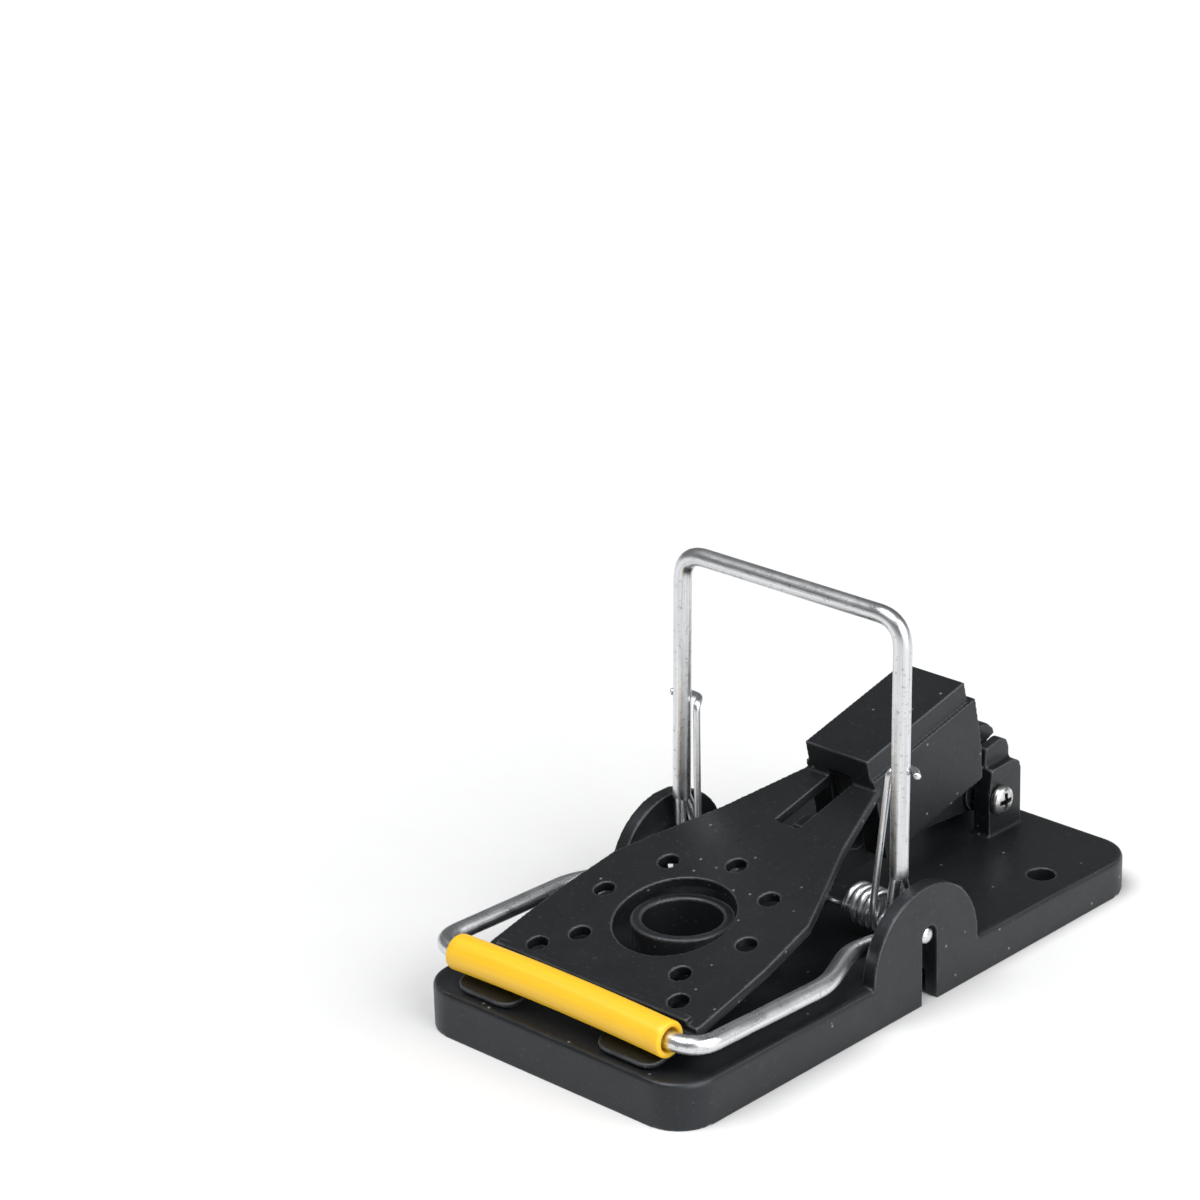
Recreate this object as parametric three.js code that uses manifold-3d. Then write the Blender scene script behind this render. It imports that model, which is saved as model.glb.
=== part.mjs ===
// Snap mouse trap, in the sprung state.
// Frame: millimetres, +Z up, X across the trap, Y along it with the striking bar at -Y.
// The origin is the centre of the footprint, on the floor.
import * as THREE from 'three';
import Module from 'manifold-3d';

const wasm = await Module();
wasm.setup();

// ---- base -----------------------------------------------------------------
const BASE_LENGTH = 98;
const BASE_WIDTH = 49;
const BASE_CORNER = 6;
const BASE_TOP_FRONT = 6.9;          // height of the top at the front edge
const BASE_TOP_REAR = 5.7;           // the top falls gently towards the rear
const BASE_WALL = 2.2;
const BASE_ROOF = 2.0;
const BASE_EDGE = 0.7;               // rounding of the top edge
const SCREW_HOLE = { x: 19, y: 33, radius: 2.0, boss: 4.2 };
const STIFFENER = { x: 12, front: -33, rear: 24, half: 0.7, foot: 0.6 };  // ribs under the base
const NUB = { x: 12.8, y: 21, radius: 1.2, height: 0.4 };                 // small raised discs on the top

// ---- pivot line of the wire frame and of the pedal -------------------------
const AXLE_Y = 1.2;
const AXLE_Z = 10;
const PIN_RADIUS = 1.25;
const PIN_INNER_X = 17.2;

// ---- ears that carry the pivot ----------------------------------------------
const EAR_Y = 0.6;
const EAR_Z = 6.6;
const EAR_RADIUS = 11.1;
const EAR_THICKNESS = 2.2;
const EAR_SLOT = 3.1;                // the slot is open at the bottom

// ---- bait cup -----------------------------------------------------------------
const CUP_Y = -21.7;
const CUP_OUTER = 7.2;
const CUP_INNER = 5.6;
const CUP_TOP = 13.9;
const CUP_FLOOR = 6.2;

// ---- wire frame ------------------------------------------------------------------
const WIRE_RADIUS = 1.3;
const STRAND_RADIUS = 0.8;           // each side of the eye at the foot of a leg
const STRAND_GAP = 0.25;
const EYE_MERGE = 2.2;               // how far a leg runs on between its two strands
const EYE_OVERLAP = 0.12;            // angle by which the strands pass each other under the axle
const EYE_STEPS = 9;
const STRAND_FACETS = 7;
const FRAME_STEPS = 76;
const HANDLE_HALF_SPAN = 19.7;
const HANDLE_REACH = 45.2;
const HANDLE_EYE_X = 19.2;
const HANDLE_FOOT_X = 19.9;
const HANDLE_APEX = 10;              // distance from the axle to where an eye closes
const HANDLE_LEAN = 1.3;              // at their feet the handle legs stand this far in front of the axle
const STRIKER_HALF_SPAN = 23.8;
const STRIKER_REACH = 46.7;
const STRIKER_REST_ANGLE = 1.8;      // the striking bar lies this far above level
const STRIKER_EYE_X = 21.25;
const STRIKER_FOOT_X = 20.7;
const STRIKER_APEX = 6.5;
const STRIKER_KNEE = [11.3, 20.6];   // the legs step inwards between these distances
const STRIKER_KNEE_X = 19.6;
const WIRE_BEND = 3.6;               // ease of the corners at the crossbars
const KNEE_BEND = 2.2;               // ease of the bends in the legs
const SET_SWING = 81;                // travel of the wire frame from sprung to set

// ---- sleeve on the striking bar -----------------------------------------------------
const SLEEVE_OUTER = 2.55;
const SLEEVE_INNER = 1.65;
const SLEEVE_HALF_LENGTH = 19.4;

// ---- torsion spring ----------------------------------------------------------------------
const SPRING_WIRE = 0.5;
const COIL_RADIUS = 2.6;
const COIL_SHIFT = [0.6, 0.8];       // the coils hang loose, this far behind and above the axle
const COIL_TURNS = 4;
const COIL_INNER_X = 11.1;
const COIL_PITCH = 1.25;
const SPRING_STEPS = 330;
const SPRING_ENTRY = 1.4;            // width of the spiral that joins the middle rod to a coil
const SPRING_ARM = [                 // an arm beside and then behind its handle leg, from the axle
  [17.5, -0.2, 22.6], [18.2, 1.45, 23.1], [20.6, 1.45, 23.2], [22.3, -0.1, 23.3]];

// ---- pedal, in its own frame: origin on the pivot line, -Y forward, Z up -----------------
const PEDAL_TILT = 13;               // front down when sprung
const PEDAL_LIFT = 15.6;             // travel from sprung to set
const PLATE_TOP = 10;
const PLATE_THICKNESS = 1.6;
const PLATE_HOLE = { y: -22.9, radius: 8.6 };
const PLATE_TIP = 48.4;
const SHELF = { top: 9.0, bottom: 8.3, rear: -40.1 };  // thin strip of the plate in front of the rib
const TAB = { inner: 7.4, outer: 18.3, corner: 2.8, notch: 7.2 };      // the two tabs in front of the rib
const RIB = { y: -39.5, height: 0.8, width: 1.3, half: 17.4 };
const RING_RADIUS = 13;
const SMALL_HOLE = 1.5;
const FRONT_HOLE = { x: 12.9, y: -36.7 };
const SLOT = { half: 2.15, front: 0.9, rear: 13.6 };
const LUG = { x: 4.4, half: 0.9, radius: 2.1, bore: 0.95 };

// ---- housing on the rear of the pedal --------------------------------------------------------
const HOUSE_FRONT = 12.9;
const HOUSE_REAR = 35.0;
const HOUSE_LEAN = 1.2;              // the rear wall leans back this far over its height
const HOUSE_TOP = 14.7;
const HOUSE_BOTTOM = -1.8;
const HOUSE_CAP = { half: 5.7, drop: 3.3 };
const HOUSE_HALF = 6.2;
const HOUSE_WALL = 1.4;

// ---- catch lever and its bracket ------------------------------------------------------------------
const CATCH_Y = 39.6;
const CATCH_Z = 11.4;
const CATCH_SWING = 13;              // travel from released to set
const CATCH_HALF = 1.6;
const CATCH_BOSS = 2.9;
const CATCH_BORE = 1.5;
const BEAK_HALF = 2.4;
const CHEEK = { inner: 3.0, step: 4.7, outer: 6.0 };
const CATCH_SCREW = { shank: 1.2, head: 2.2, headHeight: 1.3, recess: 0.7, slot: 0.26, end: 0.4 };

const GAP = 0.3;                     // clearance between pieces that touch on the real trap
const ROUND = 24;                    // facets round a hole or boss
const WIRE_FACETS = 10;

const { sin, cos, PI, asin, atan2 } = Math;
const rad = (degrees) => degrees * PI / 180;
const SIDES = [-1, 1];

// ---- geometry helpers --------------------------------------------------------------------------------

function toManifold(geometry) {
  const bare = geometry.clone();
  for (const name of Object.keys(bare.attributes)) {
    if (name !== 'position') bare.deleteAttribute(name);
  }
  const merged = mergeVertices(bare);
  return new wasm.Manifold(new wasm.Mesh({
    numProp: 3,
    vertProperties: new Float32Array(merged.positions),
    triVerts: new Uint32Array(merged.index),
  }));
}

function mergeVertices(geometry) {
  const position = geometry.attributes.position;
  const order = geometry.index ? Array.from(geometry.index.array) : [...Array(position.count).keys()];
  const seen = new Map();
  const positions = [];
  const index = [];
  for (const vertex of order) {
    const point = [position.getX(vertex), position.getY(vertex), position.getZ(vertex)];
    const key = point.map((value) => Math.round(value * 1e5)).join();
    if (!seen.has(key)) {
      seen.set(key, positions.length / 3);
      positions.push(...point);
    }
    index.push(seen.get(key));
  }
  const triangles = [];
  for (let i = 0; i < index.length; i += 3) {
    const [a, b, c] = index.slice(i, i + 3);
    if (a !== b && b !== c && c !== a) triangles.push(a, b, c);
  }
  return { positions, index: triangles };
}

function toGeometry(solid) {
  const mesh = solid.getMesh();
  const geometry = new THREE.BufferGeometry();
  geometry.setAttribute('position', new THREE.BufferAttribute(new Float32Array(mesh.vertProperties), 3));
  geometry.setIndex(new THREE.BufferAttribute(new Uint32Array(mesh.triVerts), 1));
  const flat = geometry.toNonIndexed();
  flat.computeVertexNormals();
  return flat;
}

const union = (solids) => solids.reduce((all, solid) => all.add(solid));
const cut = (solid, tools) => tools.reduce((rest, tool) => rest.subtract(tool), solid);

function block(x0, x1, y0, y1, z0, z1) {
  const geometry = new THREE.BoxGeometry(x1 - x0, y1 - y0, z1 - z0);
  geometry.translate((x0 + x1) / 2, (y0 + y1) / 2, (z0 + z1) / 2);
  return toManifold(geometry);
}

// A bar of circular section along Z.
function rod(x, y, radius, z0, z1, facets = ROUND) {
  const geometry = new THREE.CylinderGeometry(radius, radius, z1 - z0, facets);
  geometry.rotateX(PI / 2);
  geometry.translate(x, y, (z0 + z1) / 2);
  return toManifold(geometry);
}

// A bar of circular section along X.
function crossRod(x0, x1, y, z, radius, facets = ROUND) {
  const geometry = new THREE.CylinderGeometry(radius, radius, x1 - x0, facets);
  geometry.rotateZ(PI / 2);
  geometry.translate((x0 + x1) / 2, y, z);
  return toManifold(geometry);
}

// An outline in plan, raised between two heights.
function plan(shape, z0, z1, bevel = 0) {
  const options = { depth: z1 - z0, bevelEnabled: false, curveSegments: 7 };
  if (bevel) {
    Object.assign(options, {
      depth: z1 - z0 - 2 * bevel, bevelEnabled: true, bevelThickness: bevel, bevelSize: bevel,
      bevelOffset: -bevel, bevelSegments: 2,
    });
  }
  const geometry = new THREE.ExtrudeGeometry(shape, options);
  geometry.translate(0, 0, z0 + bevel);
  return toManifold(geometry);
}

// An outline of (y, z) points seen from the side, spread between two x values.
function profile(shape, x0, x1) {
  const geometry = new THREE.ExtrudeGeometry(shape, { depth: x1 - x0, bevelEnabled: false, curveSegments: 14 });
  geometry.applyMatrix4(new THREE.Matrix4().makeBasis(
    new THREE.Vector3(0, 1, 0), new THREE.Vector3(0, 0, 1), new THREE.Vector3(1, 0, 0)));
  geometry.translate(x0, 0, 0);
  return toManifold(geometry);
}

// Turns about an axis along X; a positive angle lifts the front (-Y) side.
function tip(solid, angle, y = 0, z = 0) {
  return solid.translate([0, -y, -z]).rotate([-angle, 0, 0]).translate([0, y, z]);
}

function polygon(points) {
  return new THREE.Shape(points.map(([a, b]) => new THREE.Vector2(a, b)));
}

function roundedRectangle(halfX, halfY, corner) {
  const shape = new THREE.Shape();
  shape.absarc(halfX - corner, halfY - corner, corner, 0, PI / 2);
  shape.absarc(corner - halfX, halfY - corner, corner, PI / 2, PI);
  shape.absarc(corner - halfX, corner - halfY, corner, PI, 1.5 * PI);
  shape.absarc(halfX - corner, corner - halfY, corner, 1.5 * PI, 2 * PI);
  return shape;
}

// Straight runs between the points, with each corner eased over its bend length.
function bentPath(points, bend) {
  const corners = points.map((point) => new THREE.Vector3(...point));
  const path = new THREE.CurvePath();
  let from = corners[0];
  for (let i = 1; i < corners.length - 1; i += 1) {
    const before = corners[i].clone().sub(corners[i - 1]);
    const after = corners[i + 1].clone().sub(corners[i]);
    const ease = Array.isArray(bend) ? bend[i - 1] : bend;
    const reach = Math.min(ease, before.length() * 0.45, after.length() * 0.45);
    const start = corners[i].clone().addScaledVector(before.normalize(), -reach);
    const end = corners[i].clone().addScaledVector(after.normalize(), reach);
    path.add(new THREE.LineCurve3(from, start));
    path.add(new THREE.QuadraticBezierCurve3(start, corners[i], end));
    from = end;
  }
  path.add(new THREE.LineCurve3(from, corners[corners.length - 1]));
  return path;
}

function wire(path, radius, steps, facets = WIRE_FACETS) {
  const section = new THREE.Shape(Array.from({ length: facets }, (_, i) => new THREE.Vector2(
    radius * cos(2 * PI * i / facets), radius * sin(2 * PI * i / facets))));
  return toManifold(new THREE.ExtrudeGeometry(section, { steps, extrudePath: path, bevelEnabled: false }));
}

// ---- base ------------------------------------------------------------------------------------------------

function baseTop(y) {
  return BASE_TOP_FRONT + (BASE_TOP_REAR - BASE_TOP_FRONT) * (y / BASE_LENGTH + 0.5);
}

function buildBase() {
  const halfX = BASE_WIDTH / 2;
  const halfY = BASE_LENGTH / 2;
  const slope = atan2(BASE_TOP_REAR - BASE_TOP_FRONT, BASE_LENGTH) * 180 / PI;
  const slab = plan(roundedRectangle(halfX, halfY, BASE_CORNER), -BASE_EDGE * 2, baseTop(0), BASE_EDGE);
  const tilted = slab.translate([0, 0, -baseTop(0)]).rotate([slope, 0, 0]).translate([0, 0, baseTop(0)]);
  const keep = plan(roundedRectangle(halfX, halfY, BASE_CORNER), 0, BASE_TOP_FRONT + 1);
  const plate = tilted.intersect(keep);
  const inside = roundedRectangle(halfX - BASE_WALL, halfY - BASE_WALL, BASE_CORNER - BASE_WALL);
  const hollow = plan(inside, -1, BASE_TOP_REAR - BASE_ROOF);

  const { half, foot } = STIFFENER;
  const under = BASE_TOP_REAR - 1;
  const ribs = [];
  for (const y of [STIFFENER.front, STIFFENER.rear]) {
    ribs.push(block(-halfX + 1, halfX - 1, y - half, y + half, foot, under));
  }
  for (const side of SIDES) {
    const x = side * STIFFENER.x;
    ribs.push(block(x - half, x + half, -halfY + 1, halfY - 1, foot, under));
  }

  const ear = new THREE.Shape();
  ear.moveTo(EAR_Y - EAR_RADIUS, 1);
  ear.lineTo(EAR_Y + EAR_RADIUS, 1);
  ear.absarc(EAR_Y, EAR_Z, EAR_RADIUS, 0, PI);
  const ears = SIDES.map((side) => profile(ear,
    side > 0 ? halfX - EAR_THICKNESS : -halfX, side > 0 ? halfX : EAR_THICKNESS - halfX));

  const slot = new THREE.Shape();
  slot.moveTo(AXLE_Y - EAR_SLOT / 2, -1);
  slot.lineTo(AXLE_Y + EAR_SLOT / 2, -1);
  slot.absarc(AXLE_Y, AXLE_Z, EAR_SLOT / 2, 0, PI);
  const slots = SIDES.map((side) => profile(slot,
    side > 0 ? halfX - EAR_THICKNESS - 0.6 : -halfX - 1, side > 0 ? halfX + 1 : EAR_THICKNESS + 0.6 - halfX));

  const bosses = [];
  const holes = [];
  for (const side of SIDES) {
    bosses.push(rod(side * SCREW_HOLE.x, SCREW_HOLE.y, SCREW_HOLE.boss, foot, under));
    bosses.push(rod(side * NUB.x, NUB.y, NUB.radius, under, baseTop(NUB.y) + NUB.height, 14));
    holes.push(rod(side * SCREW_HOLE.x, SCREW_HOLE.y, SCREW_HOLE.radius, -1, BASE_TOP_FRONT + 1));
  }

  const cup = rod(0, CUP_Y, CUP_OUTER, under, CUP_TOP, 32);
  const cupWell = rod(0, CUP_Y, CUP_INNER, CUP_FLOOR, CUP_TOP + 1, 32);

  const cheeks = SIDES.flatMap((side) => cheekSolids(side));
  const shankHole = crossRod(-CHEEK.outer - 1, CHEEK.outer + 1, CATCH_Y, CATCH_Z, CATCH_SCREW.shank + GAP);

  const shell = cut(plate, [hollow]);
  const solid = union([shell, ...ribs, ...bosses, ...ears, cup, ...cheeks]);
  return cut(solid, [...slots, ...holes, cupWell, shankHole]);
}

// The bracket's cheeks: a thick foot with a thinner tongue above it, both set into the base's top.
function cheekSolids(side) {
  const root = BASE_TOP_REAR - 1;
  const foot = polygon([
    [37.6, root], [45.0, root], [45.0, 14.6], [44.6, 15.8], [43.3, 16.5], [38.2, 16.3], [37.6, 12]]);
  const tongue = polygon([
    [37.6, root], [43.8, root], [43.8, 18.0], [43.3, 19.2], [42.0, 19.9], [38.5, 19.2], [37.6, 12]]);
  const span = (a, b) => (side > 0 ? [a, b] : [-b, -a]);
  return [
    profile(foot, ...span(CHEEK.inner, CHEEK.outer)),
    profile(tongue, ...span(CHEEK.inner, CHEEK.step)),
  ];
}

// ---- wire frame ---------------------------------------------------------------------------------------------
// A leg is drawn as (x, distance from the axle). "along" gives the direction of the legs in the YZ plane,
// and "lean" the offset square to it at the axle. An eye is two thin strands round the axle, which meet
// at the apex, where the leg starts.

function frameWire({ along, reach, halfSpan, eyeX, apex, lean, leg }) {
  const across = [-along[1], along[0]];
  const place = (x, run, aside) => [
    x, AXLE_Y + along[0] * run + across[0] * aside, AXLE_Z + along[1] * run + across[1] * aside];
  const corners = (side) => leg.map(([x, run]) => place(side * x, run, lean * (1 - run / reach)));
  const knees = leg.slice(1).map(() => KNEE_BEND);
  const bow = bentPath(
    [...corners(-1), place(-halfSpan, reach, 0), place(halfSpan, reach, 0), ...corners(1).reverse()],
    [...knees, WIRE_BEND, WIRE_BEND, ...knees]);
  const solids = [wire(bow, WIRE_RADIUS, FRAME_STEPS)];

  const eye = PIN_RADIUS + STRAND_GAP + STRAND_RADIUS;
  const footX = leg[0][0];
  for (const side of SIDES) {
    for (const half of SIDES) {
      const points = [place(side * footX, apex, lean)];
      const touch = PI / 2 - asin(eye / apex) + half * atan2(lean, apex);
      for (let i = 0; i <= EYE_STEPS; i += 1) {
        const angle = touch + (PI + EYE_OVERLAP - touch) * i / EYE_STEPS;
        points.push(place(side * eyeX, eye * cos(angle), half * eye * sin(angle)));
      }
      solids.push(wire(bentPath(points, STRAND_RADIUS / 2), STRAND_RADIUS, EYE_STEPS + 5, STRAND_FACETS));
    }
  }
  return union(solids);
}

function buildStriker() {
  const angle = rad(STRIKER_REST_ANGLE);
  return frameWire({
    along: [-cos(angle), sin(angle)], reach: STRIKER_REACH, halfSpan: STRIKER_HALF_SPAN,
    eyeX: STRIKER_EYE_X, apex: STRIKER_APEX, lean: 0,
    leg: [[STRIKER_FOOT_X, STRIKER_APEX - EYE_MERGE], [STRIKER_KNEE_X, STRIKER_KNEE[0]],
      [STRIKER_HALF_SPAN, STRIKER_KNEE[1]]],
  });
}

function buildHandle() {
  return frameWire({
    along: [0, 1], reach: HANDLE_REACH, halfSpan: HANDLE_HALF_SPAN,
    eyeX: HANDLE_EYE_X, apex: HANDLE_APEX, lean: HANDLE_LEAN, leg: [[HANDLE_FOOT_X, HANDLE_APEX - EYE_MERGE]],
  });
}

function strikingBar() {
  const angle = rad(STRIKER_REST_ANGLE);
  return [AXLE_Y - STRIKER_REACH * cos(angle), AXLE_Z + STRIKER_REACH * sin(angle)];
}

function buildSleeve() {
  const [y, z] = strikingBar();
  const tube = crossRod(-SLEEVE_HALF_LENGTH, SLEEVE_HALF_LENGTH, y, z, SLEEVE_OUTER, 28);
  return cut(tube, [crossRod(-SLEEVE_HALF_LENGTH - 1, SLEEVE_HALF_LENGTH + 1, y, z, SLEEVE_INNER, 20)]);
}

function buildPin(side) {
  const outer = BASE_WIDTH / 2 - GAP / 2;
  const [x0, x1] = side > 0 ? [PIN_INNER_X, outer] : [-outer, -PIN_INNER_X];
  return crossRod(x0, x1, AXLE_Y, AXLE_Z, PIN_RADIUS, 20);
}

// ---- torsion spring: a plain rod in the middle, a coil on each side and two hooked arms --------------------

class TorsionSpring extends THREE.Curve {
  constructor() {
    super();
    const [back, up] = COIL_SHIFT;
    const front = back - COIL_RADIUS;
    const end = COIL_INNER_X + COIL_TURNS * COIL_PITCH;
    this.arm = bentPath([[end, front, up], [end, front, up + 2], ...SPRING_ARM], 0.9);
    this.entry = COIL_INNER_X - SPRING_ENTRY;
    this.rodShare = 0.08;
    this.coilStart = 0.11;
    this.armStart = 0.68;
    this.arcLengthDivisions = 2400;
  }

  // One half, from the trap's middle outwards. The coil is left at its front, where the arm goes up.
  half(t) {
    const [back, up] = COIL_SHIFT;
    if (t < this.rodShare) return [this.entry * t / this.rodShare, 0, 0];
    if (t < this.coilStart) {
      const k = (t - this.rodShare) / (this.coilStart - this.rodShare);
      const ease = k * k * (3 - 2 * k);
      return [this.entry + SPRING_ENTRY * k, (back - COIL_RADIUS) * ease, up * ease];
    }
    if (t < this.armStart) {
      const k = (t - this.coilStart) / (this.armStart - this.coilStart);
      const angle = PI + 2 * PI * COIL_TURNS * (1 - k);
      const x = COIL_INNER_X + COIL_TURNS * COIL_PITCH * k;
      return [x, back + COIL_RADIUS * cos(angle), up + COIL_RADIUS * sin(angle)];
    }
    return this.arm.getPointAt(Math.min(1, (t - this.armStart) / (1 - this.armStart))).toArray();
  }

  getPoint(t) {
    const [x, y, z] = this.half(Math.abs(2 * t - 1));
    return new THREE.Vector3(t < 0.5 ? -x : x, AXLE_Y + y, AXLE_Z + z);
  }
}

function buildSpring() {
  return wire(new TorsionSpring(), SPRING_WIRE, SPRING_STEPS, 6);
}

// ---- pedal ------------------------------------------------------------------------------------------------------

// Half of the outline, from the housing forwards to the tab; the other half is its mirror image.
function pedalOutline() {
  const flank = [
    [HOUSE_HALF, HOUSE_FRONT + 1], [11.2, -0.5], [15.0, -9], [17.8, -15.5], [18.9, -26], [19.2, -39]];
  const { inner, outer, corner } = TAB;
  const shape = polygon(flank);
  const notch = TAB.notch - PLATE_TIP;
  shape.lineTo(outer, corner - PLATE_TIP);
  shape.quadraticCurveTo(outer, -PLATE_TIP, outer - corner, -PLATE_TIP);
  shape.lineTo(inner + corner, -PLATE_TIP);
  shape.quadraticCurveTo(inner, -PLATE_TIP, inner, corner - PLATE_TIP);
  shape.quadraticCurveTo(inner, notch, 0, notch);
  shape.quadraticCurveTo(-inner, notch, -inner, corner - PLATE_TIP);
  shape.quadraticCurveTo(-inner, -PLATE_TIP, -inner - corner, -PLATE_TIP);
  shape.lineTo(corner - outer, -PLATE_TIP);
  shape.quadraticCurveTo(-outer, -PLATE_TIP, -outer, corner - PLATE_TIP);
  for (const [x, y] of flank.reverse()) shape.lineTo(-x, y);
  return shape;
}

function buildPedal() {
  const wide = BASE_WIDTH / 2;
  const blank = plan(pedalOutline(), SHELF.bottom, PLATE_TOP);
  const plate = cut(blank, [
    block(-wide, wide, -PLATE_TIP - 1, SHELF.rear, SHELF.top, PLATE_TOP + 1),
    block(-wide, wide, SHELF.rear + RIB.width, HOUSE_REAR, 0, PLATE_TOP - PLATE_THICKNESS)]);
  const rib = block(-RIB.half, RIB.half, RIB.y - RIB.width / 2, RIB.y + RIB.width / 2,
    PLATE_TOP - 0.5, PLATE_TOP + RIB.height);

  const shoulder = HOUSE_TOP - HOUSE_CAP.drop;
  const body = profile(polygon([
    [HOUSE_FRONT, HOUSE_BOTTOM], [HOUSE_REAR, HOUSE_BOTTOM], [HOUSE_REAR + HOUSE_LEAN * 0.8, shoulder / 3],
    [HOUSE_REAR + HOUSE_LEAN, shoulder], [HOUSE_FRONT, shoulder]]), -HOUSE_HALF, HOUSE_HALF);
  const cap = block(-HOUSE_CAP.half, HOUSE_CAP.half, HOUSE_FRONT, HOUSE_REAR, shoulder - 1, HOUSE_TOP);
  const room = block(-HOUSE_HALF + HOUSE_WALL, HOUSE_HALF - HOUSE_WALL,
    HOUSE_FRONT + HOUSE_WALL, HOUSE_REAR - HOUSE_WALL, HOUSE_BOTTOM - 1, HOUSE_TOP - HOUSE_WALL);
  const frontDoor = block(-SLOT.half, SLOT.half, HOUSE_FRONT - 1, HOUSE_FRONT + HOUSE_WALL + 1,
    HOUSE_BOTTOM - 1, PLATE_TOP - 0.2);
  const rearDoor = block(-BEAK_HALF - GAP, BEAK_HALF + GAP, HOUSE_REAR - HOUSE_WALL - 1, HOUSE_REAR + HOUSE_LEAN + 1,
    HOUSE_BOTTOM - 1, HOUSE_TOP - HOUSE_WALL);

  const slot = block(-SLOT.half, SLOT.half, SLOT.front, SLOT.rear, 0, PLATE_TOP + 1);
  const holes = [rod(0, PLATE_HOLE.y, PLATE_HOLE.radius, 0, PLATE_TOP + 1, 36)];
  for (let step = -1; step <= 5; step += 1) {
    const angle = step * PI / 4;
    holes.push(rod(RING_RADIUS * cos(angle), PLATE_HOLE.y + RING_RADIUS * sin(angle),
      SMALL_HOLE, 0, PLATE_TOP + 1, 14));
  }
  for (const side of SIDES) holes.push(rod(side * FRONT_HOLE.x, FRONT_HOLE.y, SMALL_HOLE, 0, PLATE_TOP + 1, 14));

  const lugs = [];
  const bores = [];
  for (const side of SIDES) {
    const [x0, x1] = [side * LUG.x - LUG.half, side * LUG.x + LUG.half];
    lugs.push(crossRod(x0, x1, 0, 0, LUG.radius, 24));
    lugs.push(block(x0, x1, -LUG.radius, LUG.radius, 0, PLATE_TOP - 0.5));
    bores.push(crossRod(x0 - 1, x1 + 1, 0, 0, LUG.bore, 20));
  }

  const pedal = cut(union([cut(union([plate, rib]), holes), body, cap, ...lugs]),
    [room, frontDoor, rearDoor, slot, ...bores]);
  return tip(pedal, -PEDAL_TILT).translate([0, AXLE_Y, AXLE_Z]);
}

// ---- catch lever, drawn set and then turned to the released position ----------------------------------------------

function buildCatch() {
  const arm = polygon([
    [36.9, 13.6], [34.5, 15.4], [14, 17.7], [10.8, 19.6], [9.8, 24.6], [8.4, 26.2], [5.6, 26.4], [4.2, 24.8],
    [3.5, 17.4], [6.0, 15.6], [18, 13.6], [30, 11.4], [38.6, 8.7]]);
  const beak = polygon([
    [37.0, 12.0], [42.2, 12.0], [42.6, 17.0], [43.2, 18.4], [44.9, 18.65], [44.8, 19.6], [43.9, 20.9],
    [41.3, 21.9], [39.0, 21.5], [37.8, 18.8]]);
  const boss = crossRod(-BEAK_HALF, BEAK_HALF, CATCH_Y, CATCH_Z, CATCH_BOSS);
  const lever = union([
    profile(arm, -CATCH_HALF, CATCH_HALF), profile(beak, -BEAK_HALF, BEAK_HALF), boss]);
  const bored = cut(lever, [crossRod(-CHEEK.inner, CHEEK.inner, CATCH_Y, CATCH_Z, CATCH_BORE)]);
  return tip(bored, -CATCH_SWING, CATCH_Y, CATCH_Z);
}

function buildCatchScrew() {
  const { shank, head, headHeight, recess, slot, end } = CATCH_SCREW;
  const seat = CHEEK.outer + GAP;
  const body = crossRod(-CHEEK.outer + end, seat + GAP / 2, CATCH_Y, CATCH_Z, shank);
  const cap = new THREE.Shape();
  cap.moveTo(0, 0);
  cap.lineTo(head, 0);
  cap.lineTo(head, headHeight * 0.35);
  cap.quadraticCurveTo(head * 0.9, headHeight, 0, headHeight);
  const dome = new THREE.LatheGeometry(cap.getPoints(6), 24);
  dome.rotateZ(-PI / 2);
  dome.translate(seat, CATCH_Y, CATCH_Z);
  const depth = [seat + headHeight - recess, seat + headHeight + 1];
  const arm = head * 0.55;
  const arms = [
    block(...depth, CATCH_Y - arm, CATCH_Y + arm, CATCH_Z - slot, CATCH_Z + slot),
    block(...depth, CATCH_Y - slot, CATCH_Y + slot, CATCH_Z - arm, CATCH_Z + arm)];
  return cut(union([body, toManifold(dome)]), arms);
}

// ---- assembly ---------------------------------------------------------------------------------------------------------

const black = { color: 0x26272a, roughness: 0.5, metalness: 0 };
const zinc = { color: 0xc9cdd0, roughness: 0.25, metalness: 1 };
const yellow = { color: 0xf0b92a, roughness: 0.4, metalness: 0 };

const pieces = [
  ['base', buildBase(), black],
  ['pedal', buildPedal(), black],
  ['catch_lever', buildCatch(), black],
  ['catch_screw', buildCatchScrew(), zinc],
  ['striker_wire', buildStriker(), zinc],
  ['handle_wire', buildHandle(), zinc],
  ['striker_sleeve', buildSleeve(), yellow],
  ['axle_pin_left', buildPin(-1), zinc],
  ['axle_pin_right', buildPin(1), zinc],
  ['torsion_spring', buildSpring(), zinc],
];

const trap = new THREE.Group();
trap.name = 'snap_mouse_trap';
for (const [name, solid, look] of pieces) {
  const mesh = new THREE.Mesh(toGeometry(solid), new THREE.MeshStandardMaterial(look));
  mesh.name = name;
  trap.add(mesh);
}

export default trap;
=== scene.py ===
"""A snap mouse trap in its sprung state, on a plain pale floor.

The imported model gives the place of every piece. Each piece is rebuilt here with rounded edges,
drawn-wire streaks and moulded-plastic texture. Lengths below are millimetres until a mesh is made.
"""

import math

import bpy
import numpy as np
from mathutils import Matrix, Quaternion, Vector


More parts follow.
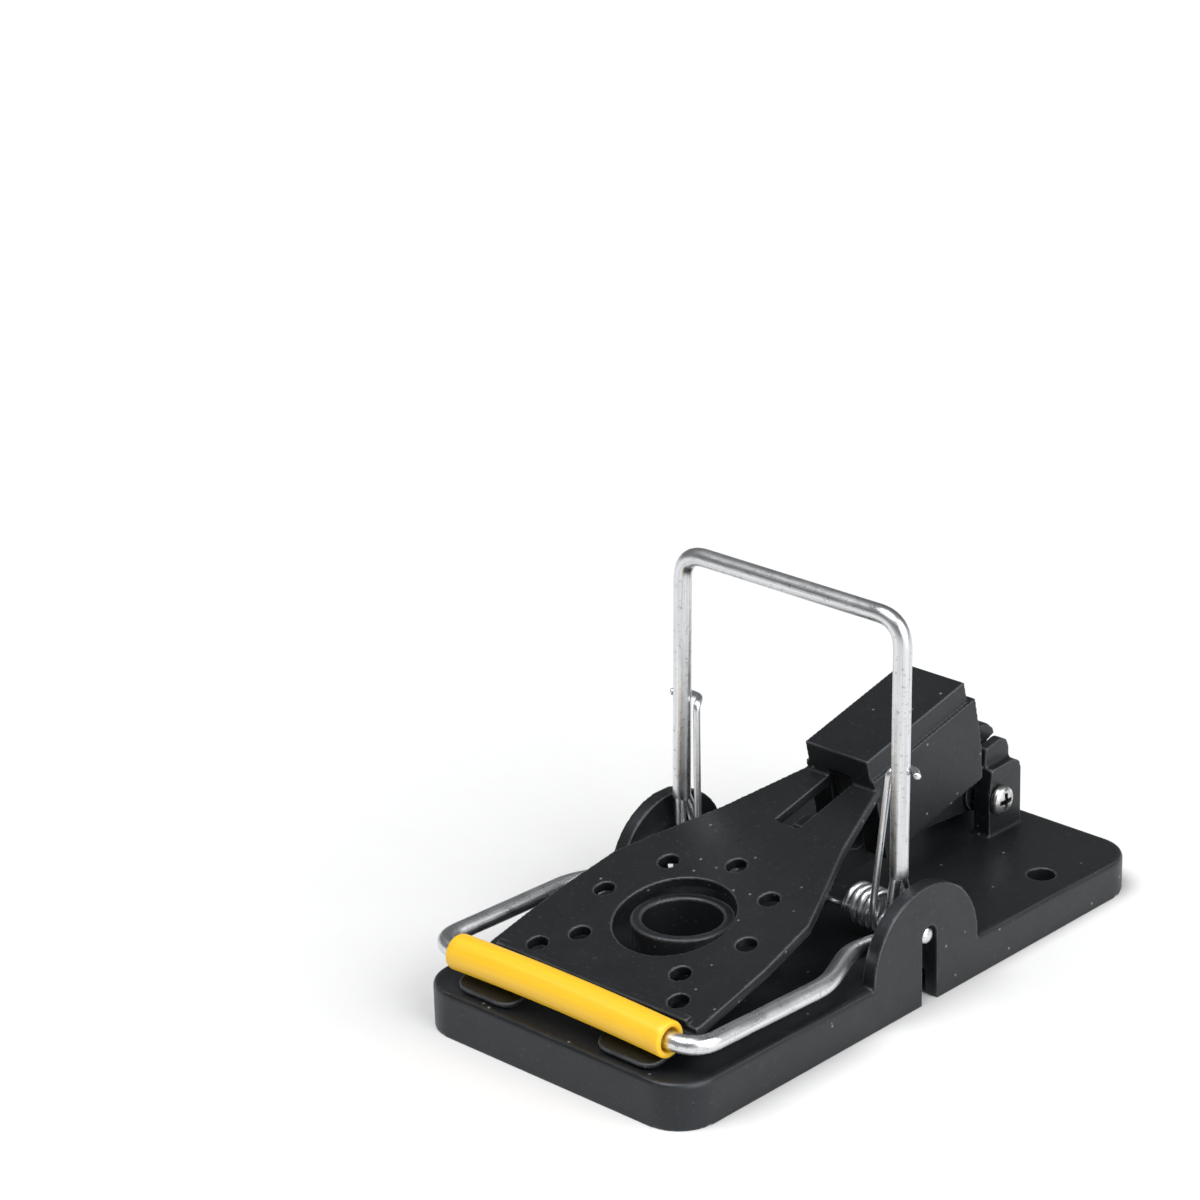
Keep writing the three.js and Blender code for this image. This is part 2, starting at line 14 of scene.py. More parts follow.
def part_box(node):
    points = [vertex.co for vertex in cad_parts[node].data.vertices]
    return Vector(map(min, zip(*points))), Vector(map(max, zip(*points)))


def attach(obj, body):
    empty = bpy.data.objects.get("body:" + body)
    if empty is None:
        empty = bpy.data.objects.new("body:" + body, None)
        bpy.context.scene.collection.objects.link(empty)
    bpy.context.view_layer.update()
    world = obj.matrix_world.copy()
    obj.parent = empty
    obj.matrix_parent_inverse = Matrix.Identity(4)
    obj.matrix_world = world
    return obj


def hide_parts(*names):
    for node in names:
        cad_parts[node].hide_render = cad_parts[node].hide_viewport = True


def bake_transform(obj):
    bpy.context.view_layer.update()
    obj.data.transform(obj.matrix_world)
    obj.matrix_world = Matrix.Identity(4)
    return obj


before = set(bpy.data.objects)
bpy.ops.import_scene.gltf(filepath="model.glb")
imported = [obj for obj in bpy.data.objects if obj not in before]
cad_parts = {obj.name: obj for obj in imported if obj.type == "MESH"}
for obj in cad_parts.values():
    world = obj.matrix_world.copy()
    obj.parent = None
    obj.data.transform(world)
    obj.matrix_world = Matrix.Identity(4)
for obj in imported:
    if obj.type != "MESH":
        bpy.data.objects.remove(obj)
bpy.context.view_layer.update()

MM = 0.001
SIDES = (-1, 1)

# ---- sizes of the wire parts -------------------------------------------------------------------
WIRE = 1.3
STRAND = 0.8  # each side of the eye at the foot of a leg
EYE_GAP = 0.25
EYE_MERGE = 1.8  # how far a leg runs on between its two strands
EYE_LEAD = 0.6  # how far above the apex a strand begins, inside the leg
EYE_OVERLAP = 0.12  # angle by which the strands pass each other under the axle
EYE_STEPS = 14
EYE_BEND = 0.5
BEND = 4.2
KNEE_BEND = 2.4
STRIKER_EYE_X = 21.25
STRIKER_FOOT_X = 20.7
STRIKER_APEX = 6.5  # distance from the axle to where an eye closes
STRIKER_KNEE_X = 19.6
STRIKER_KNEE = (11.3, 20.6)
HANDLE_EYE_X = 19.2
HANDLE_FOOT_X = 19.9
HANDLE_APEX = 10.0
HANDLE_SPAN = 19.7
HANDLE_LEAN = 1.3  # at their feet the handle legs stand this far in front of the axle

SPRING_WIRE = 0.5
COIL = 2.6
COIL_SHIFT = (0.6, 0.8)  # the coils hang loose, this far behind and above the axle
COIL_TURNS = 4
COIL_START = 11.1
COIL_END = 16.1
COIL_STEPS = 28  # points in one turn
SPRING_ENTRY = 1.4  # width of the spiral that joins the middle rod to a coil
ENTRY_STEPS = 8
ARM_RISE = 2  # an arm leaves its coil straight up for this length
ARM_BEND = 0.9
# an arm beside and then behind its handle leg, measured from the axle
SPRING_ARM = [(17.5, -0.2, 22.6), (18.2, 1.45, 23.1), (20.6, 1.45, 23.2), (22.3, -0.1, 23.3)]

SLEEVE_BORE = 1.7
SLEEVE_BOW = 0.4  # the sleeve's middle stands this far above its ends
SLEEVE_RIM = 0.3
SLEEVE_STEPS = 48

SCREW_HEAD = 1.3  # height of the head
SCREW_SHANK = 1.2
SCREW_SHANK_END = 0.5  # the shank's straight part stops this far short of the CAD screw's far end
RECESS_HALF = 0.36
RECESS_REACH = 0.6  # length of a recess arm, as a share of the head's radius
RECESS_DEPTH = 1.0
RECESS_SHADE_FROM = 0.3  # shade is painted near-black into the recess from this depth down
RECESS_SHADE_REACH = 0.7
SCREW_EDGE = 0.08

PIN_DOME = 0.6  # room left at each end of a pin for its rounded end
PIN_STEPS = 12

# ---- moulded pieces: grid size, rounding passes, most triangles --------------------------------
BASE_MESH = (0.24, 3, 190000)
PEDAL_MESH = (0.2, 3, 150000)
CATCH_MESH = (0.16, 3, 60000)
EDGE_HIGHLIGHT_GAIN = 4.0  # how readily a rounded edge gets the painted highlight and rubbed pale wear

# ---- stage -------------------------------------------------------------------------------------
FLOOR_HALF = 3000.0
FLOOR_STEPS = 8
FLOOR_DROP = 0.02
WORLD_COLOUR = (0.95, 0.97, 1.0, 1)
WORLD_STRENGTH = 0.17
KEY_LIGHT = ((-0.1, -0.38, 1.0), 36.0, 2.5)  # direction towards it, width in degrees, strength
FILL_LIGHT = ((1.0, 0.05, 0.6), 60.0, 2.9)

# ---- camera: direction it looks from, turn about its own axis, aim and lens --------------------
VIEW_AZIMUTH = 43.959
VIEW_ELEVATION = 22.101
VIEW_ROLL = -1.646
VIEW_DISTANCE = 568.7
VIEW_ASIDE = (26.47, -49.44)
VIEW_LENS = 121.48


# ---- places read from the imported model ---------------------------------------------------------


def box_mm(node):
    """Lowest and highest corner of a CAD node, in millimetres."""
    lo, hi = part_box(node)
    return lo / MM, hi / MM


def middle(node):
    lo, hi = box_mm(node)
    return (lo + hi) / 2


AXLE = Vector((0, middle("axle_pin_right").y, middle("axle_pin_right").z))
BAR = middle("striker_sleeve") - AXLE
STRIKER_REACH = math.hypot(BAR.y, BAR.z)
STRIKER_ALONG = Vector((0, BAR.y, BAR.z)) / STRIKER_REACH
STRIKER_SPAN = box_mm("striker_wire")[1].x - WIRE - 0.01
HANDLE_REACH = box_mm("handle_wire")[1].z - AXLE.z - WIRE - 0.01
HANDLE_ALONG = Vector((0, 0, 1))


# ---- mesh helpers ------------------------------------------------------------------------------


def add_object(name, vertices, faces, uvs=None, smooth=True):
    """A mesh object from millimetre points; uvs holds one (u, v) per face corner."""
    mesh = bpy.data.meshes.new(name)
    mesh.from_pydata([Vector(v) * MM for v in vertices], [], faces)
    if uvs:
        layer = mesh.uv_layers.new(name="along")
        for loop, uv in zip(layer.data, (uv for face in uvs for uv in face)):
            loop.uv = uv
    mesh.polygons.foreach_set("use_smooth", [smooth] * len(mesh.polygons))
    mesh.update()
    obj = bpy.data.objects.new(name, mesh)
    bpy.context.scene.collection.objects.link(obj)
    return obj


def eased_path(corners, bend, spacing=0.5):
    """Points along straight runs whose corners are eased, each over its own bend length."""
    corners = [Vector(c) for c in corners]
    bends = bend if isinstance(bend, list) else [bend] * len(corners)
    points = [corners[0]]
    for before, here, after, ease in zip(corners, corners[1:], corners[2:], bends):
        back, on = before - here, after - here
        reach = min(ease, back.length * 0.45, on.length * 0.45)
        start, end = here + back.normalized() * reach, here + on.normalized() * reach
        steps = max(6, round(reach / spacing * 2))
        for i in range(steps + 1):
            t = i / steps
            points.append(start * (1 - t) ** 2 + here * 2 * t * (1 - t) + end * t * t)
    points.append(corners[-1])
    dense = [points[0]]
    for a, b in zip(points, points[1:]):
        count = max(1, round((b - a).length / spacing / 3))
        dense += [a.lerp(b, (i + 1) / count) for i in range(count)]
    return dense


def tube(points, radius, sides):
    """Vertices, faces and uvs of a round wire with domed ends. u is millimetres along, v once round."""
    points = [Vector(p) for p in points]
    tangents = []
    for i, _ in enumerate(points):
        a, b = points[max(0, i - 1)], points[min(len(points) - 1, i + 1)]
        tangents.append((b - a).normalized())
    side = Vector((1, 0, 0)) if abs(tangents[0].x) < 0.7 else Vector((0, 0, 1))
    side = (side - tangents[0] * side.dot(tangents[0])).normalized()
    rings, run = [], 0.0
    for i, (point, tangent) in enumerate(zip(points, tangents)):
        if i:
            side = tangents[i - 1].rotation_difference(tangent) @ side
            run += (point - points[i - 1]).length
        rings.append((point, tangent, side.copy(), radius, run))
    dome = [(0.94, 0.3), (0.78, 0.6), (0.5, 0.85), (0.15, 0.98)]
    first, last = rings[0], rings[-1]
    head = [(first[0] - first[1] * radius * 0.55 * out, *first[1:3], radius * size, -out)
            for size, out in reversed(dome)]
    tail = [(last[0] + last[1] * radius * 0.55 * out, *last[1:3], radius * size, last[4] + out)
            for size, out in dome]
    rings = head + rings + tail

    vertices, faces, uvs = [], [], []
    for point, tangent, side, size, _ in rings:
        across = tangent.cross(side)
        for k in range(sides):
            angle = 2 * math.pi * k / sides
            vertices.append(point + side * size * math.cos(angle) + across * size * math.sin(angle))
    for i in range(len(rings) - 1):
        u0, u1 = rings[i][4], rings[i + 1][4]
        for k in range(sides):
            a, b = i * sides + k, i * sides + (k + 1) % sides
            faces.append((a, b, b + sides, a + sides))
            v0, v1 = k / sides, (k + 1) / sides
            uvs.append(((u0, v0), (u0, v1), (u1, v1), (u1, v0)))
    for start, order in ((0, -1), ((len(rings) - 1) * sides, 1)):
        faces.append(tuple(start + k for k in range(sides))[::order])
        uvs.append(tuple((0, 0.5) for _ in range(sides)))
    return vertices, faces, uvs


def joined(name, parts):
    """One object from several (vertices, faces, uvs) sets."""
    vertices, faces, uvs = [], [], []
    for more, their_faces, their_uvs in parts:
        faces += [tuple(i + len(vertices) for i in face) for face in their_faces]
        vertices += more
        uvs += their_uvs
    return add_object(name, vertices, faces, uvs)


def lathe(profile, sides, place, closed=False):
    """Turns (radius, height) points about an axis; place maps (x, y, height) to the trap's frame."""
    vertices, faces, uvs = [], [], []
    for radius, height in profile:
        for k in range(sides):
            angle = 2 * math.pi * k / sides
            vertices.append(place(radius * math.cos(angle), radius * math.sin(angle), height))
    count = len(profile)
    for i in range(count if closed else count - 1):
        j = (i + 1) % count
        for k in range(sides):
            n = (k + 1) % sides
            faces.append((i * sides + k, i * sides + n, j * sides + n, j * sides + k))
            u0, u1 = profile[i][1], profile[j][1]
            v0, v1 = k / sides, (k + 1) / sides
            uvs.append(((u0, v0), (u0, v1), (u1, v1), (u1, v0)))
    return vertices, faces, uvs


def prism(outline, low, high):
    """A solid from an outline of (y, z) points, spread along X."""
    count = len(outline)
    vertices = [(x, y, z) for x in (low, high) for y, z in outline]
    faces = [tuple(range(count))[::-1], tuple(range(count, 2 * count))]
    faces += [(i, (i + 1) % count, (i + 1) % count + count, i + count) for i in range(count)]
    return add_object("tool", vertices, faces, smooth=False)


def apply_modifiers(obj):
    """Bakes an object's modifiers into its mesh."""
    bpy.context.view_layer.update()
    graph = bpy.context.evaluated_depsgraph_get()
    mesh = bpy.data.meshes.new_from_object(obj.evaluated_get(graph))
    obj.modifiers.clear()
    obj.data = mesh


def combine(obj, tools, operation):
    """Joins tools to obj or cuts them from it, and removes them."""
    for tool in tools:
        step = obj.modifiers.new("combine", "BOOLEAN")
        step.operation = operation
        step.solver = "EXACT"
        step.object = tool
    apply_modifiers(obj)
    for tool in tools:
        bpy.data.objects.remove(tool)


def mark_edges(obj, name, sharpness):
    """Writes how strongly each vertex stands out from its neighbours, 0 on flats and up to 1 on edges."""
    mesh = obj.data
    places = np.empty(len(mesh.vertices) * 3)
    mesh.vertices.foreach_get("co", places)
    places = places.reshape(-1, 3)
    normals = np.empty(len(mesh.vertices) * 3)
    mesh.vertex_normals.foreach_get("vector", normals)
    normals = normals.reshape(-1, 3)
    ends = np.empty(len(mesh.edges) * 2, dtype=np.int64)
    mesh.edges.foreach_get("vertices", ends)
    ends = ends.reshape(-1, 2)
    total, count = np.zeros(len(places)), np.zeros(len(places))
    for here, there in ((ends[:, 0], ends[:, 1]), (ends[:, 1], ends[:, 0])):
        step = places[there] - places[here]
        drop = -(step * normals[here]).sum(axis=1) / np.maximum(np.linalg.norm(step, axis=1), 1e-9)
        np.add.at(total, here, drop)
        np.add.at(count, here, 1)
    strength = np.clip(total / np.maximum(count, 1) * sharpness, 0, 1)
    mesh.attributes.new(name, "FLOAT", "POINT").data.foreach_set("value", strength)


def moulded(node, name, voxel, smoothing, faces):
    """A copy of a CAD node with every edge and corner rounded, as moulding leaves them."""
    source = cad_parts[node]
    obj = bpy.data.objects.new(name, source.data.copy())
    bpy.context.scene.collection.objects.link(obj)
    obj.data.transform(Matrix.Scale(1 / MM, 4))
    remesh = obj.modifiers.new("remesh", "REMESH")
    remesh.mode = "VOXEL"
    remesh.voxel_size = voxel
    soften = obj.modifiers.new("soften", "SMOOTH")
    soften.factor = 0.5
    soften.iterations = smoothing
    apply_modifiers(obj)
    if len(obj.data.polygons) * 2 > faces:
        thin = obj.modifiers.new("thin", "DECIMATE")
        thin.ratio = faces / (len(obj.data.polygons) * 2)
        apply_modifiers(obj)
    obj.data.transform(Matrix.Scale(MM, 4))
    obj.data.polygons.foreach_set("use_smooth", [True] * len(obj.data.polygons))
    obj.data.update()
    # the edge attribute drives the painted edge highlight and the rubbed wear in the plastic
    mark_edges(obj, "edge", EDGE_HIGHLIGHT_GAIN)
    return obj


# ---- materials ---------------------------------------------------------------------------------


class Look:
    """A node material: a Principled shader and short calls that add the nodes in front of it."""

    def __init__(self, name, **values):
        self.material = bpy.data.materials.new(name)
        self.material.use_nodes = True
        self.nodes = self.material.node_tree.nodes
        self.links = self.material.node_tree.links
        self.shader = self.nodes["Principled BSDF"]
        for key, value in values.items():
            self.shader.inputs[key.replace("_", " ")].default_value = value
        self.coordinates = self.nodes.new("ShaderNodeTexCoord")

    def node(self, kind, inputs=None, **settings):
        made = self.nodes.new("ShaderNode" + kind)
        for key, value in settings.items():
            setattr(made, key, value)
        for key, value in (inputs or {}).items():
            if isinstance(value, bpy.types.NodeSocket):
                self.links.new(value, made.inputs[key])
            else:
                made.inputs[key].default_value = value
        return made

    def stretched(self, source, scale):
        return self.node("Mapping", {"Vector": self.coordinates.outputs[source], "Scale": scale}).outputs[0]

    def noise(self, vector, scale, detail=4.0, roughness=0.55):
        inputs = {"Vector": vector, "Scale": scale, "Detail": detail, "Roughness": roughness}
        return self.node("TexNoise", inputs).outputs["Fac"]

    def spread(self, value, low, high, start=0.0, end=1.0):
        """Maps value from start..end to low..high."""
        inputs = {"Value": value, "From Min": start, "From Max": end, "To Min": low, "To Max": high}
        return self.node("MapRange", inputs).outputs[0]

    def mix(self, factor, first, second):
        made = self.node("Mix", {"Factor": factor}, data_type="RGBA")
        for socket, value in ((made.inputs[6], first), (made.inputs[7], second)):
            if isinstance(value, bpy.types.NodeSocket):
                self.links.new(value, socket)
            else:
                socket.default_value = value
        return made.outputs[2]

    def times(self, first, second):
        return self.node("Math", {0: first, 1: second}, operation="MULTIPLY").outputs[0]

    def bump(self, height, distance, strength=1.0, under=None):
        inputs = {"Height": height, "Distance": distance, "Strength": strength}
        if under is not None:
            inputs["Normal"] = under
        return self.node("Bump", inputs).outputs[0]

    def feed(self, **sockets):
        for key, value in sockets.items():
            self.links.new(value, self.shader.inputs[key.replace("_", " ")])
        return self.material


def grey(level, warm=0.0):
    return (level * (1 + warm), level, level * (1 - warm), 1)


def moulded_plastic():
    """Charcoal satin plastic: fine grain, faint flow marks, dust specks, and edges painted paler as a
    highlight and as rubbed wear.
    """
    look = Look("black_plastic", IOR=1.5, Specular_IOR_Level=0.44, Specular_Tint=(0.88, 0.93, 1.0, 1))
    place = look.coordinates.outputs["Object"]
    cloud = look.noise(place, 55.0, 3.0)
    grain = look.noise(place, 1900.0, 3.0, 0.6)
    flow = look.noise(look.stretched("Object", (260.0, 60.0, 260.0)), 1.0, 4.0)
    tone = look.mix(cloud, grey(0.008, -0.1), grey(0.012, -0.1))
    tone = look.mix(look.spread(flow, 0.0, 0.35, 0.55, 0.8), tone, grey(0.018, -0.1))
    tone = look.mix(look.spread(grain, 0.0, 0.6, 0.62, 0.72), tone, grey(0.05, -0.08))
    # edges painted paler: partly a painted highlight where rounded edges catch light, partly rubbed wear;
    # the flow noise breaks it up
    edge = look.node("Attribute", attribute_name="edge").outputs["Fac"]
    edge = look.times(look.spread(edge, 0.0, 0.8, 0.15, 0.8), look.spread(flow, 0.35, 1.0, 0.3, 0.6))
    tone = look.mix(edge, tone, grey(0.10, -0.06))
    specks = look.node("TexVoronoi", {"Vector": place, "Scale": 420.0})
    near = look.spread(specks.outputs["Distance"], 1.0, 0.0, 0.03, 0.11)
    chosen = look.node("Math", {0: specks.outputs["Color"], 1: 0.55}, operation="GREATER_THAN").outputs[0]
    tone = look.mix(look.times(look.times(near, chosen), 0.7), tone, grey(0.3))
    rough = look.spread(look.noise(place, 240.0, 5.0), 0.36, 0.45, 0.3, 0.7)
    shape = look.bump(grain, 0.00003, 0.6)
    shape = look.bump(flow, 0.00006, 0.35, shape)
    return look.feed(Base_Color=tone, Roughness=rough, Normal=shape)


def drawn_wire(name, level, rough, pits):
    """Zinc-plated drawn wire: streaks along its length, small pits and duller patches."""
    look = Look(name, Metallic=1.0, Specular_Tint=(1, 1, 1, 1))
    streaks = look.noise(look.stretched("UV", (0.035, 26.0, 1.0)), 1.0, 5.0, 0.65)
    patches = look.noise(look.stretched("UV", (0.22, 3.0, 1.0)), 1.0, 4.0, 0.6)
    marks = look.noise(look.stretched("UV", (1.6, 9.0, 1.0)), 1.0, 3.0, 0.6)
    pitted = look.spread(marks, 0.0, 1.0, 0.58, 0.68)
    dull, bright = grey(level * 0.62, -0.02), grey(level, -0.015)
    tone = look.mix(look.spread(streaks, 0.0, 1.0, 0.3, 0.7), dull, bright)
    tone = look.mix(look.times(pitted, pits), tone, grey(level * 0.3))
    coarse = look.spread(patches, rough - 0.05, rough + 0.12, 0.3, 0.7)
    shape = look.bump(streaks, 0.00008, 0.5)
    shape = look.bump(marks, 0.00003, 0.3, shape)
    return look.feed(Base_Color=tone, Roughness=coarse, Normal=shape)


def sleeve_plastic():
    """Warm yellow extruded tube with faint lines along it."""
    look = Look("yellow_sleeve", Subsurface_Weight=0.12, Subsurface_Scale=0.002, IOR=1.48,
                Subsurface_Radius=(1.0, 0.5, 0.1))
    lines = look.noise(look.stretched("UV", (0.02, 22.0, 1.0)), 1.0, 4.0, 0.6)
    stain = look.noise(look.coordinates.outputs["Object"], 160.0, 4.0)
    grain = look.noise(look.coordinates.outputs["Object"], 2400.0, 2.0)
    tone = look.mix(look.spread(lines, 0.0, 0.5, 0.35, 0.7), (0.88, 0.50, 0.018, 1), (0.92, 0.60, 0.035, 1))
    tone = look.mix(look.spread(stain, 0.0, 0.35, 0.5, 0.8), tone, (0.86, 0.44, 0.012, 1))
    rough = look.spread(stain, 0.3, 0.46, 0.3, 0.7)
    shape = look.bump(lines, 0.00006, 0.4)
    shape = look.bump(grain, 0.00002, 0.4, shape)
    return look.feed(Base_Color=tone, Roughness=rough, Normal=shape)


def screw_metal():
    """Bright plated screw with turned rings on its head, and shade painted near-black into its cross
    recess.
    """
    look = Look("screw_steel", Metallic=1.0)
    rings = look.noise(look.stretched("UV", (9.0, 0.6, 1.0)), 1.0, 3.0)
    dirt = look.noise(look.coordinates.outputs["Object"], 1500.0, 4.0)
    tone = look.mix(look.spread(dirt, 0.0, 1.0, 0.35, 0.75), grey(0.8), grey(0.34, 0.03))
    # painted shade: the deep part of the cross recess is coloured near-black
    tone = look.mix(look.node("Attribute", attribute_name="recess_shade").outputs["Fac"], tone, grey(0.02))
    return look.feed(Base_Color=tone, Roughness=look.spread(dirt, 0.2, 0.42, 0.3, 0.7),
                     Normal=look.bump(rings, 0.00004, 0.5))


def floor_paper():
    look = Look("floor_paper", Specular_IOR_Level=0.2)
    fibre = look.noise(look.coordinates.outputs["Object"], 300.0, 3.0)
    tone = look.mix(fibre, grey(0.75), grey(0.77))
    return look.feed(Base_Color=tone, Roughness=look.spread(fibre, 0.75, 0.9))


PLASTIC = moulded_plastic()
ZINC = drawn_wire("zinc_wire", 0.9, 0.28, 0.55)
SPRING = drawn_wire("spring_wire", 0.9, 0.28, 0.25)
YELLOW = sleeve_plastic()
STEEL = screw_metal()


def finish_piece(obj, material, node, body=None):
    """Gives a new piece its material and the body it rides on, and hides the CAD node it stands for."""
    obj.data.materials.clear()
    obj.data.materials.append(material)
    obj.data.polygons.foreach_set("material_index", [0] * len(obj.data.polygons))
    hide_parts(node)
    if body:
        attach(obj, body)
    return obj


# ---- moulded pieces ----------------------------------------------------------------------------


def make_base():
    base = moulded("base", "base_moulding", *BASE_MESH)
    return finish_piece(base, PLASTIC, "base", "base")


def make_pedal():
    pedal = moulded("pedal", "pedal_moulding", *PEDAL_MESH)
    return finish_piece(pedal, PLASTIC, "pedal", "pedal")


def make_catch():
    catch = moulded("catch_lever", "catch_moulding", *CATCH_MESH)
    return finish_piece(catch, PLASTIC, "catch_lever", "catch")


# ---- wire pieces -------------------------------------------------------------------------------


def wire_frame(name, along, reach, span, eye_x, apex, lean, leg):
    """A bent wire: two legs and a crossbar, with a split eye round the axle at each foot.
    leg holds (x, distance from the axle); lean is its offset square to the legs at the axle."""
    aside = Vector((0, -along.z, along.y))

    def place(x, run, off=0.0):
        return AXLE + along * run + aside * off + Vector((x, 0, 0))

    legs = {side: [place(side * x, run, lean * (1 - run / reach)) for x, run in leg] for side in SIDES}
    corners = [*legs[-1], place(-span, reach), place(span, reach), *reversed(legs[1])]
    knees = [KNEE_BEND] * (len(leg) - 1)
    parts = [tube(eased_path(corners, [*knees, BEND, BEND, *knees]), WIRE, 24)]
    ring = box_mm("axle_pin_right")[1].z - AXLE.z + EYE_GAP + STRAND
    for side in SIDES:
        for half in SIDES:
            touch = math.acos(ring / apex) + half * math.atan2(lean, apex)
            points = [place(side * leg[0][0], apex + EYE_LEAD, lean)]
            for i in range(EYE_STEPS + 1):
                angle = touch + (math.pi + EYE_OVERLAP - touch) * i / EYE_STEPS
                points.append(place(side * eye_x, ring * math.cos(angle), half * ring * math.sin(angle)))
            parts.append(tube(eased_path(points, EYE_BEND, 0.3), STRAND, 16))
    return joined(name, parts)


def make_striker():
    leg = [(STRIKER_FOOT_X, STRIKER_APEX - EYE_MERGE), (STRIKER_KNEE_X, STRIKER_KNEE[0]),
           (STRIKER_SPAN, STRIKER_KNEE[1])]
    wire = wire_frame("striker_bow", STRIKER_ALONG, STRIKER_REACH, STRIKER_SPAN,
                      STRIKER_EYE_X, STRIKER_APEX, 0, leg)
    return finish_piece(wire, ZINC, "striker_wire", "frame")


def make_handle():
    leg = [(HANDLE_FOOT_X, HANDLE_APEX - EYE_MERGE)]
    wire = wire_frame("handle_bow", HANDLE_ALONG, HANDLE_REACH, HANDLE_SPAN,
                      HANDLE_EYE_X, HANDLE_APEX, HANDLE_LEAN, leg)
    return finish_piece(wire, ZINC, "handle_wire", "frame")


def make_sleeve():
    lo, hi = box_mm("striker_sleeve")
    half, outer = (hi.x - lo.x) / 2, (hi.z - lo.z) / 2
    centre = (lo + hi) / 2
    rim = SLEEVE_RIM

    def stretch(radius, inset):
        length = 2 * half - 2 * inset
        return [(radius, -half + inset + length * i / SLEEVE_STEPS) for i in range(SLEEVE_STEPS + 1)]

    profile = [(SLEEVE_BORE + rim * 0.4, -half), *stretch(outer, rim), (SLEEVE_BORE + rim * 0.4, half)]
    profile.insert(1, (outer - rim * 0.9, -half))
    profile.insert(2, (outer - rim * 0.25, -half + rim * 0.3))
    profile.insert(-1, (outer - rim * 0.25, half - rim * 0.3))
    profile.insert(-1, (outer - rim * 0.9, half))
    profile += list(reversed(stretch(SLEEVE_BORE, rim)))

    def place(a, b, h):
        lift = SLEEVE_BOW * (1 - (h / half) ** 2)
        return Vector((h, centre.y + a, centre.z + b + lift))

    sleeve = joined("sleeve_tube", [lathe(profile, 56, place, closed=True)])
    return finish_piece(sleeve, YELLOW, "striker_sleeve", "frame")


def make_pin(side):
    node = "axle_pin_right" if side > 0 else "axle_pin_left"
    lo, hi = box_mm(node)
    radius = (hi.z - lo.z) / 2
    outer, inner = (hi.x, lo.x) if side > 0 else (lo.x, hi.x)
    outer, inner = outer - side * PIN_DOME, inner + side * PIN_DOME
    points = [Vector((outer + (inner - outer) * i / PIN_STEPS, AXLE.y, AXLE.z))
              for i in range(PIN_STEPS + 1)]
    pin = joined(node.replace("axle_pin", "axle_end"), [tube(points, radius, 28)])
    return finish_piece(pin, ZINC, node, "frame")


def spring_points(side):
    """The path of one half of the torsion spring, from the trap's middle out to the arm's cut tip."""
    entry = COIL_START - SPRING_ENTRY
    points = [(x, 0.0, 0.0) for x in (0.05, 3.0, 6.0, entry)]
    back, lift = COIL_SHIFT
    for i in range(1, ENTRY_STEPS + 1):
        k = i / ENTRY_STEPS
        ease = k * k * (3 - 2 * k)
        points.append((entry + SPRING_ENTRY * k, (back - COIL) * ease, lift * ease))
    steps = COIL_TURNS * COIL_STEPS
    for i in range(1, steps + 1):
        angle = math.pi + 2 * math.pi * COIL_TURNS * (1 - i / steps)
        x = COIL_START + (COIL_END - COIL_START) * i / steps
        points.append((x, back + COIL * math.cos(angle), lift + COIL * math.sin(angle)))
    arm = [(COIL_END, back - COIL, lift), (COIL_END, back - COIL, lift + ARM_RISE), *SPRING_ARM]
    points += eased_path(arm, ARM_BEND, 0.4)[1:]
    return [AXLE + Vector((side * x, y, z)) for x, y, z in points]


def make_spring():
    halves = []
    for side, word in ((-1, "left"), (1, "right")):
        half = joined(f"spring_{word}", [tube(spring_points(side), SPRING_WIRE, 14)])
        half.data.materials.append(SPRING)
        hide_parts("torsion_spring")
        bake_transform(half)
        halves.append(half)
    return halves


def make_screw():
    """A pan-head screw across the bracket, with a cross recess."""
    lo, hi = box_mm("catch_screw")
    centre = (lo + hi) / 2
    head = (hi.z - lo.z) / 2
    thick = SCREW_HEAD
    profile = [
        (0.01, 0.0), (head * 0.97, 0.0), (head, 0.12), (head, thick * 0.4), (head * 0.93, thick * 0.66),
        (head * 0.72, thick * 0.87), (head * 0.4, thick * 0.97), (0.01, thick)]
    dense = []
    for a, b in zip(profile, profile[1:]):
        dense += [tuple(Vector(a).lerp(Vector(b), i / 3)) for i in range(3)]
    dense.append(profile[-1])
    seat = hi.x - thick

    def place(a, b, h):
        return Vector((seat + h, centre.y + a, centre.z + b))

    cap = joined("screw", [lathe(dense, 48, place)])
    line = [(lo.x + SCREW_SHANK_END, centre.y, centre.z), (seat + 0.2, centre.y, centre.z)]
    shank = joined("shank", [tube(line, SCREW_SHANK, 32)])
    arms = []
    reach = head * RECESS_REACH
    for wide, high in ((RECESS_HALF, reach), (reach, RECESS_HALF)):
        outline = [(centre.y - wide, centre.z - high), (centre.y + wide, centre.z - high),
                   (centre.y + wide, centre.z + high), (centre.y - wide, centre.z + high)]
        arms.append(prism(outline, hi.x - RECESS_DEPTH, hi.x + 1))
    combine(cap, arms, "DIFFERENCE")
    combine(cap, [shank], "UNION")
    cap.name = "pan_head_screw"
    edge = cap.modifiers.new("edge", "BEVEL")
    edge.width = SCREW_EDGE * MM
    edge.segments = 2
    edge.limit_method = "ANGLE"
    apply_modifiers(cap)
    cap.data.polygons.foreach_set("use_smooth", [True] * len(cap.data.polygons))
    # marks the deep middle of the cross recess, where shade is painted near-black
    recess_shade_mark = cap.data.attributes.new("recess_shade", "FLOAT", "POINT").data
    for vertex, level in zip(cap.data.vertices, recess_shade_mark):
        spot = vertex.co / MM
        away = math.hypot(spot.y - centre.y, spot.z - centre.z)
        deep = seat < spot.x < hi.x - RECESS_SHADE_FROM
        level.value = 1.0 if deep and away < head * RECESS_SHADE_REACH else 0.0
    return finish_piece(cap, STEEL, "catch_screw", "base")


# ---- stage -------------------------------------------------------------------------------------


